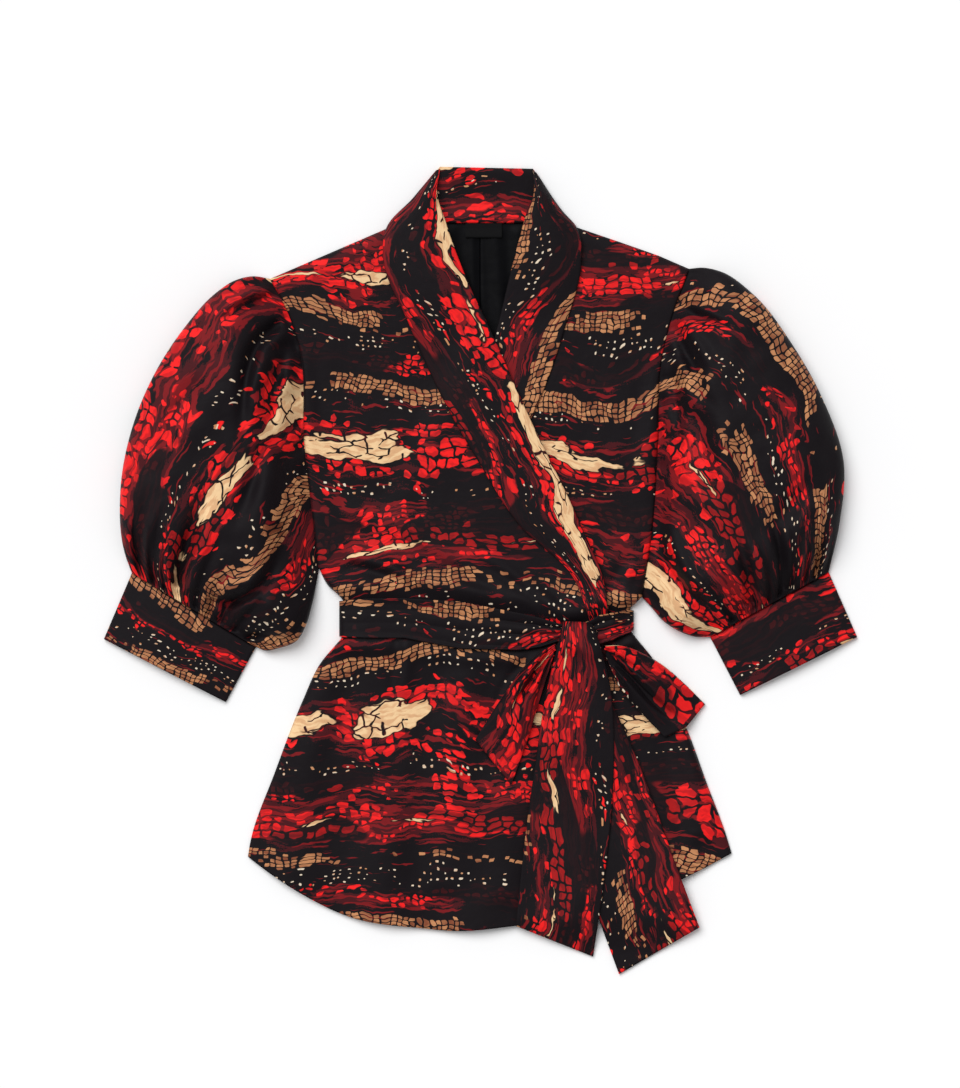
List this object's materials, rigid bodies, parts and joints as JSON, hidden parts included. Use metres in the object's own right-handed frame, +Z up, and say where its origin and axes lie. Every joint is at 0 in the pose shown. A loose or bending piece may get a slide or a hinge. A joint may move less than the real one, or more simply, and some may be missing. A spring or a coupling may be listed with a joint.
{
  "type": "wrap top",
  "caption": "Wrap top laid flat with shawl collar, puffed half sleeves, turned cuffs, peplum and a belt tied in a bow at one side; printed cotton, dark lining",
  "frame": {"origin": "centre of the plan outline on the surface that the top lies on", "axes": "+Y from hem to neck, +X to the wearer's left sleeve, +Z up out of the front"},
  "size_m": [0.753, 0.807, 0.046],
  "materials": {
    "print_cloth": "smooth cotton with a low sheen, all-over red, tan and cream print on near-black",
    "lining": "smooth black satin-like lining",
    "label": "plain black woven tab"
  },
  "bodies": {
    "root": {"back_bodice": "print_cloth", "back_lining_left": "lining", "back_lining_right": "lining", "back_peplum": "print_cloth", "belt": "print_cloth", "collar_over": "print_cloth", "collar_stand": "print_cloth", "collar_under": "print_cloth", "cuff_left": "print_cloth", "cuff_right": "print_cloth", "front_over": "print_cloth", "front_under": "print_cloth", "knot": "print_cloth", "label_tab": "label", "loop_left": "print_cloth", "loop_right": "print_cloth", "peplum_over": "print_cloth", "peplum_under": "print_cloth", "sleeve_left": "print_cloth", "sleeve_right": "print_cloth", "tail_back": "print_cloth", "tail_front": "print_cloth"}
  },
  "joints": []
}
